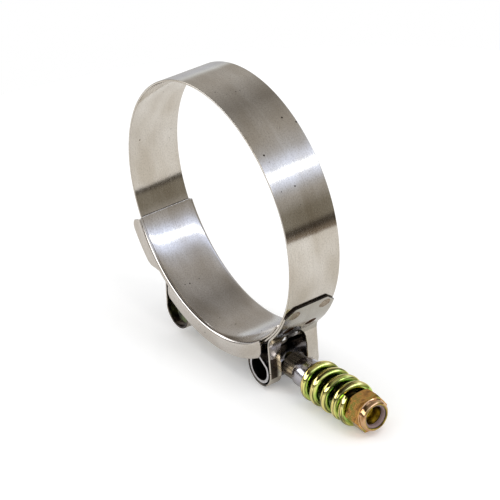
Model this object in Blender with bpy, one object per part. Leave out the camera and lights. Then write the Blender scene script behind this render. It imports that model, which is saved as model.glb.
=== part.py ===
"""T-bolt hose clamp with a constant-tension spring.

One stainless strip makes the band: it runs round the hose, folds back at both ends into a loop
and lies down again on its own outside as a flap. A T-shaped bolt hooks into the left loop and
passes through a half-round trunnion in the right loop. A stepped spacer, a coil spring and a
lock nut sit on the bolt outside the right loop. A flanged bridge inside the band covers the gap
between the loops.

The frame: X runs along the bolt towards the nut, Y along the hose, Z up. The clamp stands on
its loops. Sizes are in millimetres and become metres as the meshes are made.
"""

import math

import bmesh
import bpy
from mathutils import Matrix, Vector

MM = 0.001
TOUCH = 0.3

# Band: one folded strip
BAND_OUTER_R = 44.2
BAND_WIDTH = 19.0
BAND_THICK = 0.7
SLOT_WIDTH = 10.4
SLOT_ARCH_LENGTH = 7.5
SLOT_FLAT_END = 1.2
SLOT_RUN_OUT = 3.0
SLOT_PAST_FOOT = 0.8
RIGHT_FOOT_GAP_DEG = 2.8
LEFT_FOOT_GAP_DEG = 3.6
FLAP_LENGTH = 20.0
FLAP_CHAMFER_LENGTH = 3.2
FLAP_CHAMFER_WIDTH = 3.4
FLAP_BEND = 2.0
LOOP_INNER_DIA = 11.0

# Loops and bolt line
BOLT_BELOW_BAND = 2.8
RIGHT_LOOP_X = 22.0
LEFT_LOOP_X = 24.5
LEFT_LOOP_RISE = 1.4
BOLT_DIA = 6.35
BOLT_PAST_TRUNNION = 43.2
BOLT_TIP_CHAMFER = 0.7
CROSS_BAR_DIA = 6.8
CROSS_BAR_LENGTH = 16.0
BORE_CLEARANCE = 0.3

# Half-round trunnion in the right loop
TRUNNION_DIA = 10.0
TRUNNION_WALL = 0.9
TRUNNION_FLAT_DEG = 52.0
TRUNNION_FLAT_HALF_DEG = 26.0

# Bridge inside the band
BRIDGE_THICK = 0.6
BRIDGE_LEFT_DEG = -158.0
BRIDGE_RIGHT_DEG = -37.0
BRIDGE_END_CHAMFER = 2.0
FLANGE_FOLD_R = 1.0
EAR_HEIGHT = 5.6
NOTCH_HEIGHT = 1.8
FLANGE_HEIGHT = 5.3

# Outline of the flange: degrees round the band, and height of the edge above the bridge
FLANGE_OUTLINE = (
    (-157.4, EAR_HEIGHT * 0.65),
    (-156.4, EAR_HEIGHT * 0.86),
    (-155.2, EAR_HEIGHT * 0.97),
    (-153.8, EAR_HEIGHT),
    (-140.0, EAR_HEIGHT),
    (-136.0, EAR_HEIGHT * 0.66),
    (-133.4, NOTCH_HEIGHT),
    (-126.3, NOTCH_HEIGHT),
    (-125.2, FLANGE_HEIGHT * 0.6),
    (-122.8, FLANGE_HEIGHT),
    (-60.8, FLANGE_HEIGHT),
    (-59.0, FLANGE_HEIGHT * 0.92),
    (-57.2, FLANGE_HEIGHT * 0.76),
    (-54.8, NOTCH_HEIGHT),
)

# Spacer, spring and nut, in the order in which the bolt carries them
SPACER_NECK_DIA = 8.6
SPACER_NECK_LENGTH = 5.6
SPACER_BODY_DIA = 10.0
SPACER_BODY_LENGTH = 5.85
SPACER_EDGE = 0.5
SPRING_WIRE_DIA = 3.2
SPRING_BOLT_GAP = 0.725
SPRING_LENGTH = 22.75
SPRING_CLOSED_TURNS = 0.7
SPRING_OPEN_TURNS = 3.2
SPRING_GROUND_OFF = 0.8
SPRING_START_DEG = -14.0
NUT_ACROSS_FLATS = 11.1
NUT_HEX_HEIGHT = 5.6
NUT_TURN_DEG = 5.0
NUT_CORNER_CHAMFER = 0.7
NUT_CORNER_SPARE = 0.1
COLLAR_DIA = 10.0
COLLAR_HEIGHT = 2.3
COLLAR_LIP = 0.4
INSERT_OUTER_DIA = 8.4

# Worked out from the sizes above
BAND_MID_R = BAND_OUTER_R - BAND_THICK / 2
FLAP_MID_R = BAND_OUTER_R + TOUCH + BAND_THICK / 2
BOLT_DROP = BAND_OUTER_R + BOLT_BELOW_BAND
LEFT_LOOP_DROP = BOLT_DROP - LEFT_LOOP_RISE
TRUNNION_R = TRUNNION_DIA / 2
LOOP_MID_R = LOOP_INNER_DIA / 2 + BAND_THICK / 2
BAR_OFF_CENTRE = LOOP_MID_R - BAND_THICK / 2 - TOUCH - CROSS_BAR_DIA / 2
CROSS_BAR_X = LEFT_LOOP_X - math.sqrt(BAR_OFF_CENTRE ** 2 - LEFT_LOOP_RISE ** 2)
BRIDGE_MID_R = BAND_OUTER_R - BAND_THICK - TOUCH - BRIDGE_THICK / 2
BORE_R = BOLT_DIA / 2 + BORE_CLEARANCE
SPACER_START = TRUNNION_R + TOUCH
SPACER_END = SPACER_START + SPACER_NECK_LENGTH + SPACER_BODY_LENGTH
SPRING_OUTER_DIA = BOLT_DIA + 2 * (SPRING_BOLT_GAP + SPRING_WIRE_DIA)
SPRING_START = SPACER_END + TOUCH
NUT_START = SPRING_START + SPRING_LENGTH + TOUCH
NUT_HEIGHT = NUT_HEX_HEIGHT + COLLAR_HEIGHT

# The origin lies under the middle of the whole clamp, on the surface that it stands on
LOWEST_R = max(SPRING_OUTER_DIA / 2, LOOP_MID_R + BAND_THICK / 2)
LEFT_END_X = -BAND_OUTER_R
RIGHT_END_X = RIGHT_LOOP_X + NUT_START + NUT_HEIGHT
MIDDLE_X = -(LEFT_END_X + RIGHT_END_X) / 2
MIDDLE_Z = BOLT_DROP + LOWEST_R
BAND_CENTRE = Vector((MIDDLE_X, 0, MIDDLE_Z)) * MM
TRUNNION_CENTRE = Vector((MIDDLE_X + RIGHT_LOOP_X, 0, MIDDLE_Z - BOLT_DROP)) * MM
CROSS_BAR_CENTRE = Vector((MIDDLE_X - CROSS_BAR_X, 0, MIDDLE_Z - BOLT_DROP)) * MM


def material(name, colour, metallic, roughness):
    mat = bpy.data.materials.new(name)
    mat.use_nodes = True
    shader = mat.node_tree.nodes["Principled BSDF"]
    shader.inputs["Base Color"].default_value = (*colour, 1)
    shader.inputs["Metallic"].default_value = metallic
    shader.inputs["Roughness"].default_value = roughness
    return mat


def add_object(name, bm, mat, location, smooth_deg=35):
    """Turn a bmesh in millimetres into a named object in metres at its own origin."""
    bmesh.ops.scale(bm, vec=(MM, MM, MM), verts=bm.verts)
    mesh = bpy.data.meshes.new(name)
    bm.to_mesh(mesh)
    bm.free()
    mesh.shade_smooth()
    mesh.set_sharp_from_angle(angle=math.radians(smooth_deg))
    obj = bpy.data.objects.new(name, mesh)
    bpy.context.collection.objects.link(obj)
    obj.location = location
    if mat is not None:
        mesh.materials.append(mat)
    return obj


def add_cutter(name, bm, location):
    obj = add_object(name, bm, None, location)
    obj.hide_render = True
    obj.display_type = "WIRE"
    return obj


def boolean(target, cutter, operation):
    mod = target.modifiers.new(cutter.name, "BOOLEAN")
    mod.operation = operation
    mod.solver = "EXACT"
    mod.object = cutter


def thicken(obj, thickness):
    mod = obj.modifiers.new("sheet_thickness", "SOLIDIFY")
    mod.thickness = thickness * MM
    mod.offset = 0
    mod.use_even_offset = True


def on_circle(radius, degrees):
    return (radius * math.cos(math.radians(degrees)), radius * math.sin(math.radians(degrees)))


def sheet(rows, holes=()):
    """A bent sheet from rows of points. None marks a point that a row lacks.

    holes names the (row, column) patches that are left open.
    """
    bm = bmesh.new()
    grid = [[None if p is None else bm.verts.new(p) for p in row] for row in rows]
    for i in range(len(grid) - 1):
        for j in range(len(grid[i]) - 1):
            corners = (grid[i][j], grid[i + 1][j], grid[i + 1][j + 1], grid[i][j + 1])
            if (i, j) not in holes and None not in corners:
                bm.faces.new(corners)
    return bm


def turned(profile, segments):
    """A solid turned round the X axis from a closed outline of (x, radius) points.

    The outline runs outwards from the start of the bolt line, and radius 0 is a point on the axis.
    """
    bm = bmesh.new()
    rings = []
    for x, radius in profile:
        if radius == 0:
            rings.append([bm.verts.new((x, 0, 0))] * segments)
            continue
        ring = []
        for i in range(segments):
            y, z = on_circle(radius, 360 * i / segments)
            ring.append(bm.verts.new((x, y, z)))
        rings.append(ring)
    for first, second in zip(rings, rings[1:] + rings[:1]):
        for i in range(segments):
            j = (i + 1) % segments
            corners = [first[i], first[j], second[j], second[i]]
            distinct = list(dict.fromkeys(corners))
            if len(distinct) > 2:
                bm.faces.new(distinct)
    bmesh.ops.recalc_face_normals(bm, faces=bm.faces)
    return bm


def prism(outline, half_length):
    """An outline of (x, z) points extruded along Y, the same way to both sides."""
    bm = bmesh.new()
    near = [bm.verts.new((x, -half_length, z)) for x, z in outline]
    face = bm.faces.new(near)
    extruded = bmesh.ops.extrude_face_region(bm, geom=[face])
    moved = [v for v in extruded["geom"] if isinstance(v, bmesh.types.BMVert)]
    bmesh.ops.translate(bm, vec=(0, 2 * half_length, 0), verts=moved)
    bmesh.ops.recalc_face_normals(bm, faces=bm.faces)
    return bm


# Band

def loop_route(loop_x, loop_drop, foot_gap_deg):
    """The strip's middle line on the right-hand side, from the ring round the loop to the flap.

    Returns the points and the lengths along them at which the slot starts and ends.
    """
    reach = math.hypot(loop_x, loop_drop)
    centre_deg = math.degrees(math.atan2(-loop_drop, loop_x))
    leave_deg = centre_deg + math.degrees(math.acos((BAND_MID_R + LOOP_MID_R) / reach))
    points = [on_circle(BAND_MID_R, leave_deg)]

    foot_deg = leave_deg - foot_gap_deg
    foot = Vector(on_circle(FLAP_MID_R, foot_deg))
    centre = Vector((loop_x, -loop_drop))
    to_foot = foot - centre
    rise_deg = math.degrees(math.atan2(to_foot.y, to_foot.x) - math.acos(LOOP_MID_R / to_foot.length))
    land_deg = leave_deg + 180
    steps = 22
    for i in range(steps + 1):
        x, z = on_circle(LOOP_MID_R, land_deg + (rise_deg + 360 - land_deg) * i / steps)
        points.append((centre.x + x, centre.y + z))

    rise_top = Vector(points[-1])
    bend_in = foot - (foot - rise_top).normalized() * FLAP_BEND
    bend_deg = math.degrees(FLAP_BEND / FLAP_MID_R)
    bend_out = Vector(on_circle(FLAP_MID_R, foot_deg + bend_deg))
    slot_start = (Vector(points[1]) - Vector(points[0])).length - SLOT_RUN_OUT
    slot_end = run_length(points) + (foot - rise_top).length + SLOT_PAST_FOOT
    for i in range(5):
        t = i / 4
        on_bend = bend_in * (1 - t) ** 2 + foot * 2 * t * (1 - t) + bend_out * t ** 2
        points.append((on_bend.x, on_bend.y))

    steps = 8
    flap_deg = math.degrees(FLAP_LENGTH / FLAP_MID_R) - bend_deg
    for i in range(1, steps + 1):
        points.append(on_circle(FLAP_MID_R, foot_deg + bend_deg + flap_deg * i / steps))
    return points, slot_start, slot_end


def walk(points, distance):
    """The point at a given length along a run of points."""
    for start, end in zip(points, points[1:]):
        step = (Vector(end) - Vector(start)).length
        if distance <= step:
            return Vector(start).lerp(Vector(end), distance / step)
        distance -= step
    return Vector(points[-1])


def run_length(points):
    return sum((Vector(b) - Vector(a)).length for a, b in zip(points, points[1:]))


def slot_half_width(inside):
    """Half the slot's width at a length inside either end: both ends are arched."""
    short = max(0, 1 - inside / SLOT_ARCH_LENGTH)
    return SLOT_FLAT_END / 2 + (SLOT_WIDTH - SLOT_FLAT_END) / 2 * math.sqrt(1 - short ** 2)


def loop_rows(loop_x, loop_drop, foot_gap_deg):
    """Rows of the sheet over one loop and flap, and whether the slot is open after each row."""
    points, slot_start, slot_end = loop_route(loop_x, loop_drop, foot_gap_deg)
    total = run_length(points)
    chamfer_start = total - FLAP_CHAMFER_LENGTH
    marks = {0.0, chamfer_start, total}
    distance = 0
    for start, end in zip(points, points[1:]):
        distance += (Vector(end) - Vector(start)).length
        marks.add(min(distance, total))
    for share in (0, 0.03, 0.1, 0.22, 0.4, 0.65, 1):
        marks.add(slot_start + share * SLOT_ARCH_LENGTH)
        marks.add(slot_end - share * SLOT_ARCH_LENGTH)
    rows = []
    open_after = []
    last = -1
    for mark in sorted(marks):
        if mark - last < 0.05:
            continue
        last = mark
        place = walk(points, mark)
        into_chamfer = max(0, mark - chamfer_start) / FLAP_CHAMFER_LENGTH
        half = BAND_WIDTH / 2 - into_chamfer * FLAP_CHAMFER_WIDTH
        slot = slot_half_width(max(0, min(mark - slot_start, slot_end - mark)))
        rows.append([(place.x, y, place.y) for y in (-half, -slot, slot, half)])
        open_after.append(slot_start - 0.01 <= mark < slot_end - 0.01)
    return rows, open_after, points[0]


def build_band(mat):
    right, right_open, right_leave = loop_rows(RIGHT_LOOP_X, BOLT_DROP, RIGHT_FOOT_GAP_DEG)
    left, left_open, left_leave = loop_rows(LEFT_LOOP_X, LEFT_LOOP_DROP, LEFT_FOOT_GAP_DEG)
    left = [[(-x, y, z) for x, y, z in row] for row in reversed(left)]
    start_deg = 180 - math.degrees(math.atan2(left_leave[1], left_leave[0]))
    end_deg = math.degrees(math.atan2(right_leave[1], right_leave[0]))
    steps = 72
    ring = []
    for i in range(1, steps):
        x, z = on_circle(BAND_MID_R, start_deg + (end_deg - start_deg) * i / steps)
        half = BAND_WIDTH / 2
        inner = slot_half_width(0)
        ring.append([(x, y, z) for y in (-half, -inner, inner, half)])
    rows = left + ring + right
    holes = set()
    for i in range(len(left) - 1):
        if left_open[len(left) - 2 - i]:
            holes.add((i, 1))
    first_right = len(left) + len(ring)
    for i, is_open in enumerate(right_open):
        if is_open:
            holes.add((first_right + i, 1))
    band = add_object("band", sheet(rows, holes), mat, BAND_CENTRE)
    thicken(band, BAND_THICK)


# Bridge

def flange_height(degrees):
    """How far the flange's edge stands above the bridge, read off its outline."""
    for (start, low), (end, high) in zip(FLANGE_OUTLINE, FLANGE_OUTLINE[1:]):
        if degrees <= end:
            break
    return low + (high - low) * (degrees - start) / (end - start)


def bridge_row(degrees):
    """Points across the bridge: flange edge, fold, plain middle, fold, flange edge."""
    half = BAND_WIDTH / 2
    to_end = math.radians(BRIDGE_RIGHT_DEG - degrees) * BRIDGE_MID_R
    side = [(half - max(0, BRIDGE_END_CHAMFER - to_end), BRIDGE_MID_R)]
    if FLANGE_OUTLINE[0][0] <= degrees <= FLANGE_OUTLINE[-1][0]:
        for turn in (30, 60, 90):
            y = half + FLANGE_FOLD_R * math.sin(math.radians(turn))
            r = BRIDGE_MID_R + FLANGE_FOLD_R * (1 - math.cos(math.radians(turn)))
            side.append((y, r))
        side.append((half + FLANGE_FOLD_R, BRIDGE_MID_R + flange_height(degrees)))
    else:
        side += [None] * 4
    across = [None if p is None else (-p[0], p[1]) for p in reversed(side)] + side
    row = []
    for p in across:
        if p is None:
            row.append(None)
            continue
        x, z = on_circle(p[1], degrees)
        row.append((x, p[0], z))
    return row


def build_bridge(mat):
    chamfer_deg = BRIDGE_RIGHT_DEG - math.degrees(BRIDGE_END_CHAMFER / BRIDGE_MID_R)
    stops = [BRIDGE_LEFT_DEG, *(degrees for degrees, _ in FLANGE_OUTLINE), chamfer_deg, BRIDGE_RIGHT_DEG]
    rows = []
    for start, end in zip(stops, stops[1:]):
        steps = math.ceil((end - start) / 4)
        rows += [bridge_row(start + (end - start) * i / steps) for i in range(steps)]
    rows.append(bridge_row(BRIDGE_RIGHT_DEG))
    bridge = add_object("bridge", sheet(rows), mat, BAND_CENTRE)
    thicken(bridge, BRIDGE_THICK)


# T-bolt and trunnion

def build_t_bolt(mat):
    shank_r = BOLT_DIA / 2
    tip = CROSS_BAR_X + RIGHT_LOOP_X + BOLT_PAST_TRUNNION
    profile = [
        (0, 0),
        (0, shank_r),
        (tip - BOLT_TIP_CHAMFER, shank_r),
        (tip, shank_r - BOLT_TIP_CHAMFER),
        (tip, 0),
    ]
    bolt = add_object("t_bolt", turned(profile, 32), mat, CROSS_BAR_CENTRE)
    bar_r = CROSS_BAR_DIA / 2
    outline = [on_circle(bar_r, 360 * i / 32) for i in range(32)]
    bar = add_cutter("cross_bar", prism(outline, CROSS_BAR_LENGTH / 2), CROSS_BAR_CENTRE)
    boolean(bolt, bar, "UNION")


def half_round(radius, flat_depth):
    """A circle with one flat, at flat_depth from its middle."""
    half_deg = math.degrees(math.acos(flat_depth / radius))
    start = TRUNNION_FLAT_DEG + half_deg
    sweep = 360 - 2 * half_deg
    steps = 28
    return [on_circle(radius, start + sweep * i / steps) for i in range(steps + 1)]


def build_trunnion(mat):
    flat_depth = TRUNNION_R * math.cos(math.radians(TRUNNION_FLAT_HALF_DEG))
    body = prism(half_round(TRUNNION_R, flat_depth), BAND_WIDTH / 2)
    trunnion = add_object("trunnion", body, mat, TRUNNION_CENTRE)
    hollow = prism(half_round(TRUNNION_R - TRUNNION_WALL, flat_depth - TRUNNION_WALL), BAND_WIDTH)
    boolean(trunnion, add_cutter("trunnion_hollow", hollow, TRUNNION_CENTRE), "DIFFERENCE")
    reach = TRUNNION_DIA
    hole = turned([(-reach, 0), (-reach, BORE_R), (reach, BORE_R), (reach, 0)], 32)
    boolean(trunnion, add_cutter("trunnion_hole", hole, TRUNNION_CENTRE), "DIFFERENCE")


# Spacer, spring, nut and insert

def along_bolt(distance):
    """The point on the bolt line at a distance past the trunnion's middle."""
    return TRUNNION_CENTRE + Vector((distance * MM, 0, 0))


def build_spacer(mat):
    neck_r = SPACER_NECK_DIA / 2
    body_r = SPACER_BODY_DIA / 2
    length = SPACER_NECK_LENGTH + SPACER_BODY_LENGTH
    profile = [
        (0, BORE_R),
        (0, neck_r),
        (SPACER_NECK_LENGTH, neck_r),
        (SPACER_NECK_LENGTH, body_r - SPACER_EDGE),
        (SPACER_NECK_LENGTH + SPACER_EDGE, body_r),
        (length - SPACER_EDGE, body_r),
        (length, body_r - SPACER_EDGE),
        (length, BORE_R),
    ]
    add_object("spacer", turned(profile, 36), mat, along_bolt(SPACER_START))


def spring_points():
    """Points (x, turn) along the wire: close turns at both ends and even open turns between.

    The wire starts closer to the end than its own radius, because the end is ground flat later.
    """
    start = SPRING_WIRE_DIA / 2 - SPRING_GROUND_OFF
    closed_pitch = SPRING_WIRE_DIA + TOUCH - SPRING_GROUND_OFF
    rise = SPRING_LENGTH - 2 * start
    open_pitch = (rise - 2 * SPRING_CLOSED_TURNS * closed_pitch) / SPRING_OPEN_TURNS
    turns = 2 * SPRING_CLOSED_TURNS + SPRING_OPEN_TURNS
    steps = round(turns * 24)
    x = start
    points = [(x, 0)]
    for i in range(steps):
        middle = (i + 0.5) / steps * turns
        closed = middle < SPRING_CLOSED_TURNS or middle > turns - SPRING_CLOSED_TURNS
        x += (closed_pitch if closed else open_pitch) * turns / steps
        points.append((x, (i + 1) / steps * turns))
    return points


def build_spring(mat):
    """A left-hand coil whose two ends are ground flat."""
    coil_r = (SPRING_OUTER_DIA - SPRING_WIRE_DIA) / 2
    wire_r = SPRING_WIRE_DIA / 2
    sides = 12
    bm = bmesh.new()
    rings = []
    for x, turn in spring_points():
        outward = Vector((0, *on_circle(1, SPRING_START_DEG - 360 * turn)))
        middle = Vector((x, 0, 0)) + outward * coil_r
        ring = []
        for i in range(sides):
            along, out = on_circle(wire_r, 360 * i / sides)
            ring.append(bm.verts.new(middle + outward * out + Vector((along, 0, 0))))
        rings.append(ring)
    for first, second in zip(rings, rings[1:]):
        for i in range(sides):
            j = (i + 1) % sides
            bm.faces.new((first[i], first[j], second[j], second[i]))
    bm.faces.new(rings[0])
    bm.faces.new(rings[-1])
    bmesh.ops.recalc_face_normals(bm, faces=bm.faces)
    spring = add_object("spring", bm, mat, along_bolt(SPRING_START))
    reach = SPRING_OUTER_DIA
    kept = turned([(0, 0), (0, reach), (SPRING_LENGTH, reach), (SPRING_LENGTH, 0)], 32)
    boolean(spring, add_cutter("spring_ends", kept, along_bolt(SPRING_START)), "INTERSECT")


def build_lock_nut(mat):
    corner_r = NUT_ACROSS_FLATS / math.sqrt(3)
    face_r = corner_r - NUT_CORNER_CHAMFER
    collar_r = COLLAR_DIA / 2
    pocket_r = INSERT_OUTER_DIA / 2 + TOUCH
    profile = [
        (0, BORE_R),
        (0, face_r),
        (NUT_CORNER_CHAMFER / 2, corner_r + NUT_CORNER_SPARE),
        (NUT_HEX_HEIGHT - NUT_CORNER_CHAMFER / 2, corner_r + NUT_CORNER_SPARE),
        (NUT_HEX_HEIGHT, face_r),
        (NUT_HEX_HEIGHT, collar_r),
        (NUT_HEIGHT - COLLAR_LIP, collar_r),
        (NUT_HEIGHT, collar_r - COLLAR_LIP / 2),
        (NUT_HEIGHT, pocket_r - COLLAR_LIP),
        (NUT_HEIGHT - COLLAR_LIP, pocket_r - COLLAR_LIP),
        (NUT_HEIGHT - COLLAR_LIP, pocket_r),
        (NUT_HEX_HEIGHT, pocket_r),
        (NUT_HEX_HEIGHT, BORE_R),
    ]
    nut = add_object("lock_nut", turned(profile, 48), mat, along_bolt(NUT_START))
    hexagon = bmesh.new()
    stopped = Matrix.Rotation(math.radians(NUT_TURN_DEG), 4, "Z")
    bmesh.ops.create_cone(
        hexagon, cap_ends=True, segments=6, radius1=corner_r, radius2=corner_r, depth=2 * NUT_HEIGHT,
        matrix=stopped,
    )
    cutter = add_cutter("nut_hexagon", hexagon, along_bolt(NUT_START + NUT_HEIGHT / 2))
    cutter.rotation_euler = (0, math.radians(90), 0)
    boolean(nut, cutter, "INTERSECT")


def build_nylon_insert(mat):
    start = NUT_HEX_HEIGHT + TOUCH
    length = COLLAR_HEIGHT - COLLAR_LIP - 2 * TOUCH
    outer_r = INSERT_OUTER_DIA / 2
    profile = [(0, BORE_R), (0, outer_r), (length, outer_r), (length, BORE_R)]
    add_object("nylon_insert", turned(profile, 32), mat, along_bolt(NUT_START + start))


for old in list(bpy.data.objects):
    bpy.data.objects.remove(old, do_unlink=True)

build_band(material("rolled_stainless", (0.62, 0.60, 0.57), 1.0, 0.22))
build_bridge(material("bridge_stainless", (0.60, 0.58, 0.55), 1.0, 0.25))
build_t_bolt(material("gold_zinc", (0.60, 0.50, 0.22), 1.0, 0.32))
build_trunnion(material("plain_zinc", (0.45, 0.44, 0.42), 1.0, 0.35))
build_spacer(material("turned_steel", (0.68, 0.68, 0.67), 1.0, 0.18))
build_spring(material("lime_zinc", (0.60, 0.62, 0.22), 1.0, 0.30))
build_lock_nut(material("bronze_zinc", (0.52, 0.43, 0.24), 1.0, 0.30))
build_nylon_insert(material("nylon", (0.30, 0.27, 0.23), 0.0, 0.55))
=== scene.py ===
import math

import bmesh
import bpy
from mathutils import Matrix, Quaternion, Vector


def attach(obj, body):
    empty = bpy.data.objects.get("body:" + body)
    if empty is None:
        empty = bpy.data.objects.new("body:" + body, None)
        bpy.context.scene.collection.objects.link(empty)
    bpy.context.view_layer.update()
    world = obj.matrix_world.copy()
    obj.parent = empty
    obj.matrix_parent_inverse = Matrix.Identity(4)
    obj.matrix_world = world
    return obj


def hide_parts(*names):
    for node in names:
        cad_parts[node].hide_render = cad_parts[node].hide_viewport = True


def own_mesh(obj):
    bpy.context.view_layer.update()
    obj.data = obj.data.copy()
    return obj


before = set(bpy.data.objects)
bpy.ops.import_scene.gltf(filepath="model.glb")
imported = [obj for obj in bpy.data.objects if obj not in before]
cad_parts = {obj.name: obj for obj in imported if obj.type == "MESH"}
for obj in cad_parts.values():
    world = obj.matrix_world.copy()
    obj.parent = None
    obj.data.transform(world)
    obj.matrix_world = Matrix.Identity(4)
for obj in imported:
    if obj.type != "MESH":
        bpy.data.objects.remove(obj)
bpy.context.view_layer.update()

# Table: the clamp stands on a round sheet of white card, half a metre across and lifted to plain
# white for the camera alone. The bright metal mirrors the foot of the room just past its edge.
CARD_R = 0.25
CARD_DROP = 0.0002
CARD_COLOUR = (0.93, 0.93, 0.93)
CARD_LIFT = 0.17

card_mesh = bpy.data.meshes.new("white_card")
bm = bmesh.new()
bmesh.ops.create_circle(bm, cap_ends=True, segments=96, radius=CARD_R)
bm.to_mesh(card_mesh)
bm.free()
card = bpy.data.objects.new("white_card", card_mesh)
bpy.context.scene.collection.objects.link(card)
card.location = (0, 0, -CARD_DROP)
card_paper = bpy.data.materials.new("card_paper")
card_paper.use_nodes = True
paper = card_paper.node_tree.nodes["Principled BSDF"]
paper.inputs["Base Color"].default_value = (*CARD_COLOUR, 1)
paper.inputs["Roughness"].default_value = 0.9
paper.inputs["Specular IOR Level"].default_value = 0.1
paper.inputs["Emission Color"].default_value = (1, 1, 1, 1)
to_eye = card_paper.node_tree.nodes.new("ShaderNodeLightPath")
lifted = card_paper.node_tree.nodes.new("ShaderNodeMath")
lifted.operation = "MULTIPLY"
lifted.inputs[1].default_value = CARD_LIFT
card_paper.node_tree.links.new(to_eye.outputs["Is Camera Ray"], lifted.inputs[0])
card_paper.node_tree.links.new(lifted.outputs[0], paper.inputs["Emission Strength"])
card_mesh.materials.append(card_paper)

# Daylight: white light falls evenly from all round, on a white background.
DAYLIGHT = 0.86
daylight = bpy.data.worlds.new("daylight")
bpy.context.scene.world = daylight
daylight.use_nodes = True
tree = daylight.node_tree
ray = tree.nodes.new("ShaderNodeLightPath")
seen = tree.nodes.new("ShaderNodeMath")
seen.operation = "MAXIMUM"
shown = tree.nodes.new("ShaderNodeMath")
shown.operation = "MAXIMUM"
level = tree.nodes.new("ShaderNodeMapRange")
level.inputs["To Min"].default_value = DAYLIGHT
level.inputs["To Max"].default_value = 1
tree.links.new(ray.outputs["Is Camera Ray"], seen.inputs[0])
tree.links.new(ray.outputs["Is Glossy Ray"], seen.inputs[1])
tree.links.new(seen.outputs[0], shown.inputs[0])
tree.links.new(ray.outputs["Is Transmission Ray"], shown.inputs[1])
tree.links.new(shown.outputs[0], level.inputs["Value"])
tree.links.new(level.outputs["Result"], tree.nodes["Background"].inputs["Strength"])
tree.nodes["Background"].inputs["Color"].default_value = (1, 1, 1, 1)

# Room: a wide ring of studio walls that only the bright metal mirrors. The window's side is dark
# at table height with a bluish glow above, the back is grey, and a long white panel stands out of
# the dark on the left. Each wall gives its tones by height, in degrees above the clamp.
ROOM_R = 2.0
ROOM_MIDDLE = Vector((0, 0, 0.045))
ROOM_FOOT = -17
ROOM_LEVEL = 5.0
WINDOW_SIDE = 35
WINDOW_SPREAD = (0.15, 0.75)
UNDER = (0.28, 0.23, 0.18)
DARK = (0.07, 0.06, 0.05)
DUSK = (0.27, 0.25, 0.21)
CEILING = (0.28, 0.27, 0.26)
GREY = (0.52, 0.51, 0.50)
PALE = (0.65, 0.68, 0.75)
HAZE = (0.85, 0.90, 0.95)
GLOW = (1.15, 1.30, 1.70)
PANEL = (3.3, 3.4, 3.6)
WINDOW_WALL = (
    (-17, UNDER), (-13, UNDER), (-9, DARK), (-6.5, DARK), (-4, DUSK), (6, DUSK), (17, GREY),
    (22, PALE), (28, GLOW), (40, GLOW), (47, PALE), (57, GREY), (75, CEILING),
)
BACK_WALL = ((-17, GREY), (2, PALE), (8, HAZE), (14, GREY), (34, GREY), (57, CEILING), (75, CEILING))
LEFT_SIDE = 252
LEFT_SPREAD = (0.45, 0.65)
LEFT_WALL = (
    (-17, DUSK), (-9, GREY), (4, GREY), (7, DARK), (12, DARK), (14, PANEL), (32, PANEL), (35, DARK),
    (50, DARK), (75, CEILING),
)

bm = bmesh.new()
bmesh.ops.create_uvsphere(bm, u_segments=96, v_segments=64, radius=ROOM_R)
foot = (0, 0, ROOM_R * math.sin(math.radians(ROOM_FOOT)))
everything = bm.verts[:] + bm.edges[:] + bm.faces[:]
bmesh.ops.bisect_plane(bm, geom=everything, plane_co=foot, plane_no=(0, 0, 1), clear_inner=True)
walls_mesh = bpy.data.meshes.new("studio_walls")
bm.to_mesh(walls_mesh)
bm.free()
walls = bpy.data.objects.new("studio_walls", walls_mesh)
bpy.context.scene.collection.objects.link(walls)
walls.location = ROOM_MIDDLE
walls.visible_camera = False
walls.visible_diffuse = False
walls.visible_transmission = False
walls.visible_shadow = False
wall_paint = bpy.data.materials.new("wall_paint")
wall_paint.use_nodes = True
wall_paint.cycles.emission_sampling = "NONE"
tree = wall_paint.node_tree
tree.nodes.remove(tree.nodes["Principled BSDF"])
place = tree.nodes.new("ShaderNodeTexCoord")
outward = tree.nodes.new("ShaderNodeVectorMath")
outward.operation = "NORMALIZE"
height = tree.nodes.new("ShaderNodeSeparateXYZ")
share = tree.nodes.new("ShaderNodeMapRange")
share.inputs["From Min"].default_value = -1
tree.links.new(place.outputs["Object"], outward.inputs[0])
tree.links.new(outward.outputs["Vector"], height.inputs[0])
tree.links.new(height.outputs["Z"], share.inputs["Value"])
level_way = tree.nodes.new("ShaderNodeVectorMath")
level_way.operation = "MULTIPLY"
level_way.inputs[1].default_value = (1, 1, 0)
compass = tree.nodes.new("ShaderNodeVectorMath")
compass.operation = "NORMALIZE"
tree.links.new(place.outputs["Object"], level_way.inputs[0])
tree.links.new(level_way.outputs["Vector"], compass.inputs[0])


def facing(azimuth, low, high):
    """How far a direction points towards an azimuth: 0 at the cosine low, 1 at high."""
    way = tree.nodes.new("ShaderNodeVectorMath")
    way.operation = "DOT_PRODUCT"
    way.inputs[1].default_value = (math.cos(math.radians(azimuth)), math.sin(math.radians(azimuth)), 0)
    fit = tree.nodes.new("ShaderNodeMapRange")
    fit.inputs["From Min"].default_value = low
    fit.inputs["From Max"].default_value = high
    tree.links.new(compass.outputs["Vector"], way.inputs[0])
    tree.links.new(way.outputs["Value"], fit.inputs["Value"])
    return fit.outputs["Result"]


def painted(wall):
    """The wall's colour at each height."""
    paint = tree.nodes.new("ShaderNodeValToRGB")
    for i, (degrees, colour) in enumerate(wall):
        at = (math.sin(math.radians(degrees)) + 1) / 2
        stop = paint.color_ramp.elements[i] if i < 2 else paint.color_ramp.elements.new(at)
        stop.position = at
        stop.color = (*(c / ROOM_LEVEL for c in colour), 1)
    tree.links.new(share.outputs["Result"], paint.inputs["Fac"])
    return paint.outputs["Color"]


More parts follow.
